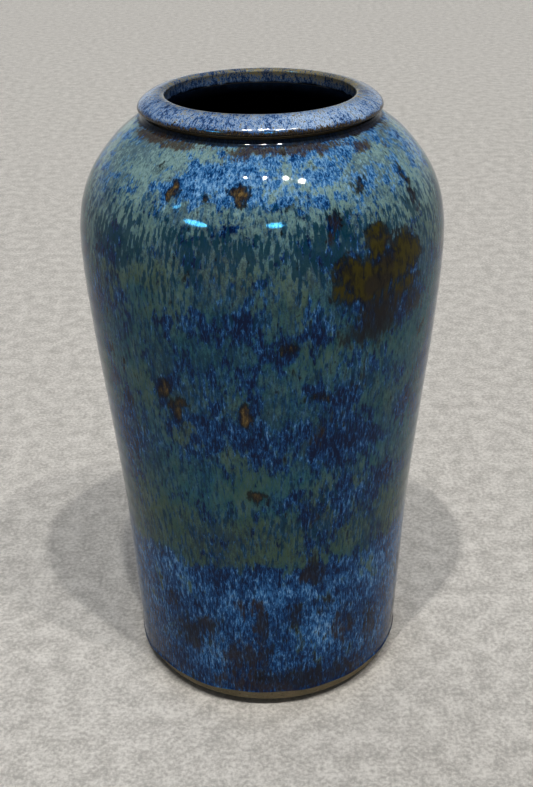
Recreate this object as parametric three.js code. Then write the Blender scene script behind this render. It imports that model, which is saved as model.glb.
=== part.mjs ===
// A stoneware pottery vase: a thrown clay body with a turned foot ring, a round
// shoulder and a rolled rim, under three fired glaze coats.
// Units are millimetres and +Z is up. The origin is the centre of the circle
// on the table that the foot ring stands on, and the Z axis is the wheel's axis.
import * as THREE from "three";

// Driving dimensions.
const HEIGHT = 250; // table to the crest of the rim
const BELLY_RADIUS = 71.2; // widest glazed radius, just under the shoulder
const BELLY_HEIGHT = 191;
const SEGMENTS = 48; // facets around every turned piece

// Layers, counted inwards from the glazed outer surface.
const GAP = 0.3; // clearance between neighbouring solids
const OUTER_GLAZE = 1.0;
const RIM_GLAZE = 0.6;
const LINER_GLAZE = 0.7;
const CLAY_FACE = OUTER_GLAZE + GAP;
const CLAY_WALL = 5.7;
const CLAY_BACK = CLAY_FACE + CLAY_WALL;

// Foot.
const FOOT_RING_HEIGHT = 3.2; // the foot lifts the floor's underside by this
const FOOT_RING_OUTER = 52.4;
const FOOT_RING_INNER = 43.6;
const FOOT_BEVEL = 1.0;
const BARE_BAND_RADIUS = 56.4; // lower edge of the unglazed clay band
const GLAZE_LINE = 8.7; // the outer glaze starts at this height
const FLOOR_TOP = 11; // inside face of the clay floor
const COVE = 3; // rounding of the liner glaze where it pools between the floor and the wall

// Joints between the turned stretches of clay.
const BELLY_JOINT = 192;
const SHOULDER_JOINT = 221;
const NECK_JOINT = 240;

// Steps up the profile of each stretch, and round the small roundings.
const WALL_STEPS = 6;
const SHOULDER_STEPS = 4;
const NECK_STEPS = 4;
const ROUND_STEPS = 3;
const HALVINGS = 40; // enough to find a height on a curve exactly

// Rim: a rolled lip whose section is an ellipse leaning down and outwards.
const NECK_BORE = 36.6; // clay radius of the neck's inside
const ROLL_HALF_WIDTH = 5.69;
const ROLL_HALF_THICK = 2.31;
const ROLL_LEAN = THREE.MathUtils.degToRad(23.3);
const ROLL_CENTRE_RADIUS = 40.8;
const ROLL_RISE = Math.hypot(
  ROLL_HALF_WIDTH * Math.sin(ROLL_LEAN),
  ROLL_HALF_THICK * Math.cos(ROLL_LEAN),
);
const ROLL_CENTRE_HEIGHT = HEIGHT - ROLL_RISE;
// Degrees round the ellipse, from its outer lower tip over the top.
const ROLL_UNDER = -50; // the underside meets the groove
const ROLL_CREST =
  180 -
  THREE.MathUtils.radToDeg(
    Math.atan2(ROLL_HALF_THICK * Math.cos(ROLL_LEAN), ROLL_HALF_WIDTH * Math.sin(ROLL_LEAN)),
  );
const ROLL_INSIDE = 200; // the section runs into the neck
const GROOVE_GLAZE_TOP = 242.7; // the outer glaze ends at this height, inside the groove
const LIP_END = 244.7; // the rim's glaze gives way to the liner at this height
const NECK_BEND_START = 232; // the inside starts to turn up into the neck here
const NECK_BEND_END = 241;

// The glazed outer surface, from the glaze line to the groove under the rim,
// as a smooth curve through a few radii and heights.
const outline = new THREE.SplineCurve([
  new THREE.Vector2(58.5, GLAZE_LINE),
  new THREE.Vector2(60.0, 40),
  new THREE.Vector2(62.0, 80),
  new THREE.Vector2(65.5, 120),
  new THREE.Vector2(69.3, 160),
  new THREE.Vector2(BELLY_RADIUS, BELLY_HEIGHT),
  new THREE.Vector2(69.9, 208.5),
  new THREE.Vector2(65.0, 221.7),
  new THREE.Vector2(56.0, 233.4),
  new THREE.Vector2(47.0, 240.7),
  new THREE.Vector2(42.8, 243.1),
]);

// A point on the surface that lies `depth` inside the outline.
function insetPoint(t, depth) {
  const point = outline.getPoint(t);
  const tangent = outline.getTangent(t);
  return new THREE.Vector2(point.x - depth * tangent.y, point.y + depth * tangent.x);
}

// Where along the outline the inset surface reaches a height, by halving.
function parameterAt(height, depth) {
  let low = 0;
  let high = 1;
  for (let i = 0; i < HALVINGS; i++) {
    const middle = (low + high) / 2;
    if (insetPoint(middle, depth).y < height) low = middle;
    else high = middle;
  }
  return (low + high) / 2;
}

// Points up the inset surface from one height to another.
function stretch(depth, from, to, steps) {
  const start = parameterAt(from, depth);
  const end = parameterAt(to, depth);
  const points = [];
  for (let i = 0; i <= steps; i++) {
    points.push(insetPoint(THREE.MathUtils.lerp(start, end, i / steps), depth));
  }
  points[0].y = from;
  points[steps].y = to;
  return points;
}

// A point on the roll's section, `depth` under its glazed surface. Zero degrees is
// the outer lower tip, 90 the upper face and 180 the inner upper tip.
function rollPoint(degrees, depth) {
  const angle = THREE.MathUtils.degToRad(degrees);
  const along = (ROLL_HALF_WIDTH - depth) * Math.cos(angle);
  const across = (ROLL_HALF_THICK - depth) * Math.sin(angle);
  return new THREE.Vector2(
    ROLL_CENTRE_RADIUS + along * Math.cos(ROLL_LEAN) + across * Math.sin(ROLL_LEAN),
    ROLL_CENTRE_HEIGHT - along * Math.sin(ROLL_LEAN) + across * Math.cos(ROLL_LEAN),
  );
}

// Points round the roll from its underside, over the crest, to the neck.
function rollArc(depth) {
  const outside = 7;
  const inside = 3;
  const points = [];
  for (let i = 0; i < outside; i++) {
    points.push(rollPoint(THREE.MathUtils.lerp(ROLL_UNDER, ROLL_CREST, i / outside), depth));
  }
  for (let i = 0; i <= inside; i++) {
    points.push(rollPoint(THREE.MathUtils.lerp(ROLL_CREST, ROLL_INSIDE, i / inside), depth));
  }
  return points;
}

// The rounded corner between the liner's floor and wall, going up.
function coveArc(depth) {
  const centreHeight = FLOOR_TOP + depth + COVE;
  const wall = insetPoint(parameterAt(centreHeight, CLAY_BACK + depth), CLAY_BACK + depth);
  const points = [];
  for (let i = 0; i <= ROUND_STEPS; i++) {
    const angle = (i / ROUND_STEPS) * (Math.PI / 2);
    points.push(
      new THREE.Vector2(
        wall.x - COVE + COVE * Math.sin(angle),
        centreHeight - COVE * Math.cos(angle),
      ),
    );
  }
  return points;
}

// The inside of the shoulder turning up into the neck, `depth` into the hollow
// from the clay's surface.
function neckBend(depth) {
  const t = parameterAt(NECK_BEND_START, CLAY_BACK + depth);
  const start = insetPoint(t, CLAY_BACK + depth);
  const tangent = outline.getTangent(t);
  const bore = NECK_BORE - depth;
  const corner = new THREE.Vector2(bore, start.y + ((bore - start.x) * tangent.y) / tangent.x);
  return new THREE.QuadraticBezierCurve(start, corner, new THREE.Vector2(bore, NECK_BEND_END));
}

// Where the neck bend crosses a height, by halving.
function neckBendAt(height) {
  const bend = neckBend(0);
  let low = 0;
  let high = 1;
  for (let i = 0; i < HALVINGS; i++) {
    const middle = (low + high) / 2;
    if (bend.getPoint(middle).y < height) low = middle;
    else high = middle;
  }
  return new THREE.Vector2(bend.getPoint(low).x, height);
}

// The inside of the wall, the shoulder and the neck, up from a height to each joint.
// `depth` is how far into the hollow the surface lies from the clay's.
function wallInside(depth, from) {
  return stretch(CLAY_BACK + depth, from, BELLY_JOINT, WALL_STEPS);
}

function shoulderInside(depth, from) {
  return stretch(CLAY_BACK + depth, from, SHOULDER_JOINT, SHOULDER_STEPS);
}

function neckInside(depth, from) {
  return stretch(CLAY_BACK + depth, from, NECK_BEND_START, NECK_STEPS - 2);
}

// The inside from the shoulder's foot to the end of the neck bend.
function insideAboveWall(depth) {
  return [
    ...shoulderInside(depth, BELLY_JOINT).slice(1),
    ...neckInside(depth, SHOULDER_JOINT).slice(1, -1),
    ...neckBend(depth).getPoints(ROUND_STEPS),
  ];
}

// Turns a closed section about the Z axis into a named mesh.
function turn(name, section, material) {
  const closed = [...section];
  if (section[0].x > 0) closed.push(section[0].clone());
  const mesh = new THREE.Mesh(new THREE.LatheGeometry(closed, SEGMENTS), material);
  mesh.name = name;
  mesh.rotation.x = Math.PI / 2;
  return mesh;
}

const clay = new THREE.MeshStandardMaterial({ color: 0x9c8158, roughness: 0.85, metalness: 0 });
const blueGlaze = new THREE.MeshStandardMaterial({ color: 0x2c5072, roughness: 0.15, metalness: 0 });
const rimGlazeLook = new THREE.MeshStandardMaterial({ color: 0x5d7183, roughness: 0.2, metalness: 0 });
const linerLook = new THREE.MeshStandardMaterial({ color: 0x0d1722, roughness: 0.15, metalness: 0 });

// The turned ring that the vase stands on.
function footRing() {
  const top = FOOT_RING_HEIGHT - GAP;
  return turn(
    "foot_ring",
    [
      new THREE.Vector2(FOOT_RING_INNER + FOOT_BEVEL, 0),
      new THREE.Vector2(FOOT_RING_OUTER - FOOT_BEVEL, 0),
      new THREE.Vector2(FOOT_RING_OUTER, FOOT_BEVEL),
      new THREE.Vector2(FOOT_RING_OUTER, top),
      new THREE.Vector2(FOOT_RING_INNER, top),
      new THREE.Vector2(FOOT_RING_INNER, FOOT_BEVEL),
    ],
    clay,
  );
}

// The clay floor, with the bare band round its edge.
function baseFloor() {
  const top = FLOOR_TOP - GAP;
  const edge = insetPoint(0, CLAY_FACE).x;
  return turn(
    "base_floor",
    [
      new THREE.Vector2(0, FOOT_RING_HEIGHT),
      new THREE.Vector2(BARE_BAND_RADIUS - FOOT_BEVEL, FOOT_RING_HEIGHT),
      new THREE.Vector2(BARE_BAND_RADIUS, FOOT_RING_HEIGHT + FOOT_BEVEL),
      new THREE.Vector2(edge, GLAZE_LINE),
      new THREE.Vector2(edge, top),
      new THREE.Vector2(0, top),
    ],
    clay,
  );
}

// The thrown wall from the floor to the belly.
function bodyWall() {
  return turn(
    "body_wall",
    [
      ...stretch(CLAY_FACE, FLOOR_TOP, BELLY_JOINT, WALL_STEPS),
      ...wallInside(0, FLOOR_TOP).reverse(),
    ],
    clay,
  );
}

// The round shoulder above the belly.
function shoulder() {
  const foot = BELLY_JOINT + GAP;
  return turn(
    "shoulder",
    [
      ...stretch(CLAY_FACE, foot, SHOULDER_JOINT, SHOULDER_STEPS),
      ...shoulderInside(0, foot).reverse(),
    ],
    clay,
  );
}

// The sloping collar that closes the shoulder in to the neck.
function neck() {
  const foot = SHOULDER_JOINT + GAP;
  const bend = neckBend(0)
    .getPoints(ROUND_STEPS)
    .filter((point) => point.y < NECK_JOINT - GAP);
  return turn(
    "neck",
    [
      ...stretch(CLAY_FACE, foot, NECK_JOINT, NECK_STEPS),
      neckBendAt(NECK_JOINT),
      ...bend.reverse(),
      ...neckInside(0, foot).reverse().slice(1),
    ],
    clay,
  );
}

// The clay of the neck and its rolled-over lip, with the groove under the roll.
function rimRoll() {
  const foot = NECK_JOINT + GAP;
  const groove = insetPoint(1, CLAY_FACE);
  return turn(
    "rim_roll",
    [
      ...stretch(CLAY_FACE, foot, groove.y, 1),
      ...rollArc(RIM_GLAZE + GAP),
      new THREE.Vector2(NECK_BORE, NECK_BEND_END),
      neckBendAt(foot),
    ],
    clay,
  );
}

// The streaked blue glaze over the wall and shoulder, from the glaze line to the groove.
function outerGlaze() {
  const face = 0;
  const back = OUTER_GLAZE;
  const backTop = insetPoint(parameterAt(GROOVE_GLAZE_TOP, face), back).y;
  const surface = (depth, top) => [
    ...stretch(depth, GLAZE_LINE, BELLY_JOINT, WALL_STEPS),
    ...stretch(depth, BELLY_JOINT, SHOULDER_JOINT, SHOULDER_STEPS).slice(1),
    ...stretch(depth, SHOULDER_JOINT, top, NECK_STEPS).slice(1),
  ];
  return turn(
    "outer_glaze",
    [...surface(face, GROOVE_GLAZE_TOP), ...surface(back, backTop).reverse()],
    blueGlaze,
  );
}

// The thinner, broken glaze that wraps the roll from the groove to inside the lip.
function rimGlaze() {
  const face = NECK_BORE - GAP - LINER_GLAZE;
  const back = face + RIM_GLAZE;
  return turn(
    "rim_glaze",
    [
      ...rollArc(0),
      new THREE.Vector2(face, LIP_END),
      new THREE.Vector2(back, LIP_END),
      ...rollArc(RIM_GLAZE).reverse(),
    ],
    rimGlazeLook,
  );
}

// The dark glaze poured inside, over the floor, the wall and the neck.
function linerGlaze() {
  const top = LIP_END - GAP;
  const back = GAP;
  const face = GAP + LINER_GLAZE;
  return turn(
    "liner_glaze",
    [
      new THREE.Vector2(0, FLOOR_TOP + back),
      ...wallInside(back, FLOOR_TOP + back),
      ...insideAboveWall(back),
      new THREE.Vector2(NECK_BORE - back, top),
      new THREE.Vector2(NECK_BORE - face, top),
      ...insideAboveWall(face).reverse(),
      ...wallInside(face, FLOOR_TOP + face + COVE).reverse(),
      ...coveArc(face).slice(0, -1).reverse(),
      new THREE.Vector2(0, FLOOR_TOP + face),
    ],
    linerLook,
  );
}

const vase = new THREE.Group();
vase.add(
  footRing(),
  baseFloor(),
  bodyWall(),
  shoulder(),
  neck(),
  rimRoll(),
  outerGlaze(),
  rimGlaze(),
  linerGlaze(),
);

export default vase;
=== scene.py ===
import math
import random

import bmesh
import bpy
import numpy as np
from mathutils import Matrix, Vector, noise


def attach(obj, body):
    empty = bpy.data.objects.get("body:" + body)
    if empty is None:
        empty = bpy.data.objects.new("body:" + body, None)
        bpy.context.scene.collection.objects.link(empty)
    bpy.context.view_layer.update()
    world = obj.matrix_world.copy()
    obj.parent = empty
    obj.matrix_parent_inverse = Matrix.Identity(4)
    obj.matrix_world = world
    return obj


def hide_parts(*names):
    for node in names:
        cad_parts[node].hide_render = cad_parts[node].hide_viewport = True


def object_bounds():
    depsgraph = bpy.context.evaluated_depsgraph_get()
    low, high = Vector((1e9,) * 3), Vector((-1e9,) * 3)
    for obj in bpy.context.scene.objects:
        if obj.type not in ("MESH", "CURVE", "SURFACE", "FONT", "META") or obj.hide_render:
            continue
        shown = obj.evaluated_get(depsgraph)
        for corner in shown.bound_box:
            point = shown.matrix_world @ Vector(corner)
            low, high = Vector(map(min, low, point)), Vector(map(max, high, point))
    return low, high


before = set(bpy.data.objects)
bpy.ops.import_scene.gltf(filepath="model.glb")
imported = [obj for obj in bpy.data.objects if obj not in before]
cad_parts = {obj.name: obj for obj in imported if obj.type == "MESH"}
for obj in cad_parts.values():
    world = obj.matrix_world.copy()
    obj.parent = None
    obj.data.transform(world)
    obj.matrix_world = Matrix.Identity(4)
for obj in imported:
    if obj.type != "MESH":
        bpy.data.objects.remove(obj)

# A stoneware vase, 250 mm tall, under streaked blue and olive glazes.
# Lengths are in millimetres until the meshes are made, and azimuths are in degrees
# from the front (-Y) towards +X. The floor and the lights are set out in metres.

# ---------------------------------------------------------------- sizes

CAD_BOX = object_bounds()
VASE_HEIGHT = 250
MM = CAD_BOX[1][2] / VASE_HEIGHT  # one millimetre of the vase, in metres

# The glazed outer surface, as radius and height: the same curve as the solids'.
OUTLINE = [
    (58.5, 8.7), (60.0, 40), (62.0, 80), (65.5, 120), (69.3, 160), (71.2, 191),
    (69.9, 208.5), (65.0, 221.7), (56.0, 233.4), (47.0, 240.7), (42.8, 243.1),
]

# The foot and the floor.
FOOT_RING_OUTER = 52.4
FOOT_RING_INNER = 43.6
FOOT_RING_TOP = 3.15
FLOOR_UNDER = 3.2
FLOOR_TOP = 11.0
BARE_BAND_RADIUS = 56.4

# The glazes' and the wall's thickness, and the air left between pieces that meet.
OUTER_GLAZE = 1.0
RIM_GLAZE = 0.6
LINER_GLAZE = 0.7
WALL = 5.7
GAP = 0.3
CLAY_FACE = OUTER_GLAZE + GAP
CLAY_BACK = CLAY_FACE + WALL

# The heights where the thrown clay is divided, and its inner face at the neck.
BELLY_JOINT = 192.0
SHOULDER_JOINT = 221.0
NECK_JOINT = 240.0
NECK_BORE = 36.6
NECK_BEND_START = 232.0
NECK_BEND_END = 241.0
LIP_CLAY_END = 244.4

# The rolled rim: a leaning ellipse, and where its glaze and clay run, in degrees round from its tip.
ROLL_CENTRE = (40.8, 246.91)
ROLL_HALF = (5.69, 2.31)
ROLL_LEAN = math.radians(23.3)
ROLL_UNDER = -50
ROLL_CLAY_UNDER = -38
ROLL_INSIDE = 200

# Where the glazes start and end: at the bare band, in the groove under the roll, and inside the lip.
GLAZE_LINE = 8.7
GROOVE_TOP = 242.7
FACE_START = GLAZE_LINE + 0.5
BACK_START = GLAZE_LINE + 0.6
BACK_END = GROOVE_TOP - 0.7
RIM_GROOVE = [(42.90, 243.00), (43.02, 243.35)]
RIM_GROOVE_BACK = (42.72, 243.20)
LIP_START = 245.2
LIP_END = 244.55
LINER_END = LIP_END - 0.05
GROOVE_TUCK = 0.1  # the clay lies this much deeper at the groove

# Rounded corners: how far in and how far up each point of them lies.
FOOT_CORNER = [(1.3, 0), (0.8, 0.14), (0.3, 0.5), (0, 1.1), (0, 2.0)]
BAND_CORNER = [(1.2, 0), (0.7, 0.15), (0.15, 0.6), (-0.05, 1.3)]
GLAZE_CORNER = [(0.80, 0.12), (0.50, 0), (0.22, 0.08), (0.05, 0.25)]
LINER_COVE = 3.0  # this one is a radius

# The crease in the glaze under the rim, the rings of the throwing, and the ripples inside. The rings
# and the straying of the glazes' edges fade out towards their ends, over the last FADE millimetres.
CREASE_START = 239.0
CREASE_HEIGHT = 241.6
CREASE_HALF = 0.55
CREASE_DEPTH = 0.45
RING_PITCH = 8.5
RING_DEPTH = 0.03
RING_END = 224
DRIFT_END = 243
FADE = 14
RIPPLE_PITCH = 7.0
RIPPLE_DEPTH = 0.12
RIPPLE_FREE = 12  # the middle of the floor inside this radius is smooth

# About how far the coats' faces lie inside the solids', so that their relief stays inside too.
OUTER_SINK = 0.30
RIM_SINK = 0.09
LINER_SINK = 0.13

# The outer glaze's lower edge: where it ran down, as azimuth, half width and rise, and how far up
# the wall its wandering is felt.
GLAZE_RUNS = [(-74, 15, -2.6), (150, 18, -1.8)]
EDGE_REACH = 9.0

COAT_SEGMENTS = 400
RIM_SEGMENTS = 480
LINER_SEGMENTS = 200
CLAY_SEGMENTS = 160
BEND_STEPS = 20
SKIN = 0.02  # the coats' faces are drawn this far inside the solids'
TINY = 1e-6  # shorter than any step along a section
WELD_REACH = 1e-7  # in metres
SHARP_EDGE = math.radians(50)

FLOW_RADIUS = 65.0  # radius that the glaze patterns are laid out on
SHORTENING = [(195, 1.0), (235, 2.2)]  # how much shorter the streaks are, by height
FAR_SIDE = (72, 288)  # azimuths of the side that is strewn at random

# ---------------------------------------------------------------- profiles


def outline(t):
    """The point and direction at t, from 0 to 1, of a smooth curve through OUTLINE."""
    spans = len(OUTLINE) - 1
    place = min(max(t, 0.0), 1.0) * spans
    i = min(int(place), spans - 1)
    u = place - i
    knots = [OUTLINE[min(max(k, 0), spans)] for k in (i - 1, i, i + 1, i + 2)]
    point = []
    along = []
    for a, b, c, d in zip(*knots):
        v0 = (c - a) / 2
        v1 = (d - b) / 2
        cubic = 2 * b - 2 * c + v0 + v1
        square = -3 * b + 3 * c - 2 * v0 - v1
        point.append(((cubic * u + square) * u + v0) * u + b)
        along.append((3 * cubic * u + 2 * square) * u + v0)
    return Vector(point), Vector(along).normalized()


def inset(t, depth):
    """The point that far inside the outline, square to it."""
    point, along = outline(t)
    return Vector((point.x - depth * along.y, point.y + depth * along.x))


def crossing(curve, height):
    """Where a rising curve reaches a height, by halving."""
    low, high = 0.0, 1.0
    for _ in range(40):
        middle = (low + high) / 2
        if curve(middle).y < height:
            low = middle
        else:
            high = middle
    return low


def stretch(depth, start, end, steps=60):
    """Points up the inset outline from one height to another."""
    a = crossing(lambda t: inset(t, depth), start)
    b = crossing(lambda t: inset(t, depth), end)
    return [inset(a + (b - a) * i / steps, depth) for i in range(steps + 1)]


def roll_point(degrees, depth):
    """A point under the roll's surface. Zero degrees is its outer tip and 90 its upper face."""
    angle = math.radians(degrees)
    along = (ROLL_HALF[0] - depth) * math.cos(angle)
    across = (ROLL_HALF[1] - depth) * math.sin(angle)
    return Vector((
        ROLL_CENTRE[0] + along * math.cos(ROLL_LEAN) + across * math.sin(ROLL_LEAN),
        ROLL_CENTRE[1] - along * math.sin(ROLL_LEAN) + across * math.cos(ROLL_LEAN),
    ))


def roll_arc(depth, start=ROLL_UNDER, end=ROLL_INSIDE, steps=60):
    """Points round the roll, that far under its surface."""
    return [roll_point(start + (end - start) * i / steps, depth) for i in range(steps + 1)]


def neck_bend(depth):
    """The inside of the shoulder turning up into the neck, as a curve from 0 to 1."""
    t = crossing(lambda u: inset(u, CLAY_BACK + depth), NECK_BEND_START)
    start = inset(t, CLAY_BACK + depth)
    along = outline(t)[1]
    bore = NECK_BORE - depth
    turning = Vector((bore, start.y + (bore - start.x) * along.y / along.x))
    end = Vector((bore, NECK_BEND_END))
    return lambda u: (1 - u) ** 2 * start + 2 * u * (1 - u) * turning + u * u * end


def inside(depth, start, end):
    """Points up the inside of the clay between two heights, `depth` into the hollow."""
    points = []
    if start < NECK_BEND_START:
        points += stretch(CLAY_BACK + depth, start, min(end, NECK_BEND_START))
    if end > NECK_BEND_START:
        bend = neck_bend(depth)
        low = crossing(bend, start) if start > NECK_BEND_START else 0.0
        high = crossing(bend, end) if end < NECK_BEND_END else 1.0
        points += [bend(low + (high - low) * i / BEND_STEPS) for i in range(BEND_STEPS + 1)]
    return points


def rounded_corner(radius, height, points, side=1):
    """A rounded corner's points. A side of -1 turns them outwards, for an inner edge."""
    return [(radius - side * inward, height + up) for inward, up in points]


def even(points, step):
    """The same polyline with points an even distance apart, about a step."""
    points = np.array([tuple(p) for p in points])
    lengths = np.hypot(*np.diff(points, axis=0).T)
    keep = np.concatenate([[True], lengths > TINY])
    points = points[keep]
    run = np.concatenate([[0], np.cumsum(lengths[lengths > TINY])])
    places = np.linspace(0, run[-1], max(2, round(run[-1] / step) + 1))
    return np.column_stack([np.interp(places, run, points[:, i]) for i in (0, 1)])


def run_of(section, growth=1.0):
    """The distance along a section to each of its points, with each step grown that many times."""
    lengths = np.hypot(*np.diff(section, axis=0).T)
    return np.concatenate([[0], np.cumsum(lengths * growth)])


# ---------------------------------------------------------------- meshes


def turns(segments):
    """The angles that a lathe turns its section to."""
    return np.linspace(0, 2 * math.pi, segments, endpoint=False)


def outward(section):
    """Unit normals of a section whose solid lies to its left."""
    along = np.roll(section, -1, 0) - np.roll(section, 1, 0)
    if section[0, 0] < TINY:
        along[0] = section[1] - section[0]
        along[-1] = section[-1] - section[-2]
    along /= np.hypot(*along.T)[:, None]
    return np.column_stack([along[:, 1], -along[:, 0]])


def lathe(name, parts, segments, relief=None):
    """Turns a section about Z. relief gives the depth pressed in at each angle and point."""
    section = np.concatenate([np.array([tuple(p) for p in part]) for part in parts])
    closed = section[0, 0] > TINY
    angles = turns(segments)
    radius = np.repeat(section[None, :, 0], segments, 0)
    height = np.repeat(section[None, :, 1], segments, 0)
    if relief:
        depth = relief(angles, section)
        normals = outward(section)
        radius = radius - depth * normals[:, 0]
        height = height - depth * normals[:, 1]
    turn = angles[:, None]
    verts = np.stack([radius * np.sin(turn), -radius * np.cos(turn), height], -1)
    count = len(section)
    rows = np.arange(count if closed else count - 1)
    here = np.arange(segments)[:, None] * count
    there = (np.arange(segments)[:, None] + 1) % segments * count
    up = (rows + 1) % count
    faces = np.stack([here + rows, there + rows, there + up, here + up], -1)
    mesh = bpy.data.meshes.new(name)
    mesh.from_pydata((verts.reshape(-1, 3) * MM).tolist(), [], faces.reshape(-1, 4).tolist())
    if not closed:
        weld(mesh)
    mesh.polygons.foreach_set("use_smooth", [True] * len(mesh.polygons))
    mesh.set_sharp_from_angle(angle=SHARP_EDGE)
    mesh.update()
    piece = bpy.data.objects.new(name, mesh)
    bpy.context.scene.collection.objects.link(piece)
    return piece


def weld(mesh):
    """Joins the points that meet on the axis."""
    work = bmesh.new()
    work.from_mesh(mesh)
    bmesh.ops.remove_doubles(work, verts=work.verts, dist=WELD_REACH)
    work.to_mesh(mesh)
    work.free()


def face_relief(depth, first, last):
    """A relief that presses in a coat's face, but not its first and last points or its back."""

    def relief(angles, section):
        grid = depth.reshape(len(angles), -1)
        pressed = np.zeros((len(angles), len(section)))
        end = grid.shape[1] - last
        pressed[:, first:end] = grid[:, first:end]
        return pressed

    return relief


def spiral(angles, section, pitch):
    """A wave along a section that climbs one pitch each turn, from -1 to 1."""
    return np.sin(run_of(section)[None, :] * 2 * math.pi / pitch + angles[:, None])


def turned_marks(depth, pitch):
    """A relief of the fine grooves left by a turning tool."""
    centre = 2  # the surface inside this radius is left smooth

    def relief(angles, section):
        return depth * (1 + spiral(angles, section, pitch)) / 2 * (section[:, 0] > centre)

    return relief


def points_of(piece):
    """A piece's points, in metres, one to a row."""
    co = np.empty(len(piece.data.vertices) * 3)
    piece.data.vertices.foreach_get("co", co)
    return co.reshape(-1, 3)


def attribute(piece, name, values):
    """Stores a number, or a vector, for each of a piece's points."""
    vector = values.ndim == 2
    kind = "FLOAT_VECTOR" if vector else "FLOAT"
    layer = piece.data.attributes.new(name, kind, "POINT")
    layer.data.foreach_set("vector" if vector else "value", values.ravel())


def store(piece, fields, segments, spare):
    """Stores a coat's fields. The spare points of its back take its face's last value."""
    for name, values in fields.items():
        grid = values.reshape(segments, -1, *values.shape[1:])
        margins = [(0, 0), (0, spare), (0, 0)][:grid.ndim]
        grid = np.pad(grid, margins, mode="edge")
        attribute(piece, name, grid.reshape(-1, *values.shape[1:]))


# ---------------------------------------------------------------- where the glazes lie


def flow_points(angles, lengths):
    """Where each point lies on an upright pipe, so that patterns don't pinch at the neck."""
    turn, run = np.broadcast_arrays(angles[:, None], lengths[None, :])
    place = [FLOW_RADIUS * np.sin(turn), -FLOW_RADIUS * np.cos(turn), run]
    return np.stack(place, -1).reshape(-1, 3)


def waves(points, size, shift=0.0):
    """Smooth noise between -1 and 1, of that size in millimetres. shift tells the noises apart."""
    step = 1.0 / size
    offset = Vector((shift, shift * 2, -shift))
    return np.array([noise.noise(Vector(p) * step + offset) for p in points])


def level(places, levels):
    """The value at each place, from a table of places and values."""
    return np.interp(places, *zip(*levels))


def fading(height, end, least):
    """1 well below a height, and falling to the least over the last stretch up to it."""
    return np.clip((end - height) / FADE, least, 1)


def ovals(azimuth, height, features):
    """Adds up soft ovals.

    Each feature is an azimuth, a height, a half width in degrees, a half height and a strength.
    """
    total = np.zeros_like(height)
    for where, up, wide, tall, strength in features:
        turn = (azimuth - where + 180) % 360 - 180
        total += strength * np.clip(1.5 - np.hypot(turn / wide, (height - up) / tall), 0, 1)
    return total


def strongest(azimuth, height, features):
    """As ovals, but overlapping ovals join instead of adding up."""
    best = np.zeros_like(height)
    for feature in features:
        best = np.maximum(best, ovals(azimuth, height, [feature]))
    return best


def arcs(azimuth, features):
    """As ovals, at every height: each feature is an azimuth, a half width and a strength."""
    tall = [(where, 0, wide, 1, strength) for where, wide, strength in features]
    return ovals(azimuth, np.zeros_like(azimuth), tall)


def scattered(seed, count, heights, wide, tall, strength):
    """Ovals strewn over the far side of the vase."""
    draw = random.Random(seed)
    features = []
    for _ in range(count):
        size = draw.uniform(0.6, 1.4)
        features.append((
            draw.uniform(*FAR_SIDE), draw.uniform(*heights), wide * size,
            tall * draw.uniform(0.7, 1.3) * size, strength * draw.uniform(0.6, 1.1),
        ))
    return features


# The glazes' amounts by height, and then the ovals where they are thicker or thinner. The iron
# spots, the patch and its dusky tail are ovals alone.
FILM_LEVELS = [
    (8, .05), (60, .08), (73, .12), (78, .86), (97, .86), (102, .66), (106, .50), (113, .64),
    (122, .62), (127, .46), (140, .48), (150, .54), (160, .48), (168, .58), (178, .58), (182, .46),
    (190, .54), (196, .60), (206, .74), (212, .82), (217, .90), (222, .84), (226, .44), (230, .42),
    (234, .56), (240, .52), (243, .28),
]
FILM_FEATURES = [
    (-38, 200, 9, 4, .35), (-25, 203, 6, 3, .3), (-9, 203, 7, 4, .4), (10, 200, 6, 6, .25),
    (-50, 209, 7, 7, -.50), (-28, 210, 7, 5, -.2), (4, 213, 3, 5, -.2), (20, 214, 3, 7, -.4),
    (52, 216, 5, 5, -.3), (14, 211, 4, 5, -.25), (-25, 184, 8, 5, -.4), (-4, 185, 7, 5, -.4),
    (15, 184, 6, 6, -.4), (-28, 170, 14, 9, .2), (-25, 115, 17, 7, .25), (5, 147, 5, 13, .2),
    (38, 145, 5, 16, .25), (27, 130, 9, 22, -.3), (15, 104, 5, 12, -.3), (30, 107, 9, 9, -.3),
    (18, 86, 6, 13, -.32), (31, 94, 8, 9, -.15), (46, 94, 8, 9, -.15), (58, 165, 9, 60, .15),
    (-62, 165, 9, 60, .1), (3, 130, 4, 8, -.2), (-25, 141, 14, 7, -.2), (-50, 234, 16, 8, .45),
    (28, 165, 9, 7, -.2), (-15, 188, 4, 7, .3), (6, 189, 4, 6, .3), (-38, 187, 6, 8, .25),
    (6, 76, 5, 5, .4), (-30, 76, 8, 4, .35), (-12, 231, 16, 4, -.2), (12, 236, 26, 5, -.25),
    (36, 233, 10, 4, .2),
]
OLIVE_LEVELS = [
    (8, .3), (75, .6), (80, .85), (98, .75), (105, .45), (125, .35), (150, .4), (180, .3),
    (196, .5), (206, .65), (216, .65), (224, .45), (230, .3), (242, .3),
]
OLIVE_FEATURES = [
    (-38, 200, 9, 4, .5), (-25, 203, 6, 3, .5), (-9, 203, 7, 4, .6), (10, 200, 6, 6, .4),
    (-52, 192, 7, 9, .5), (34, 221, 8, 3, .4), (-52, 225, 9, 4, .4), (-25, 137, 8, 6, .5),
    (-50, 238, 12, 4, .4), (-50, 209, 10, 7, -.7), (8, 211, 12, 5, -.3),
]
FROST_LEVELS = [
    (8, 0), (98, 0), (110, .04), (188, .04), (197, .14), (205, .30), (213, .52), (222, .74),
    (230, .95), (243, .95),
]
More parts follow.
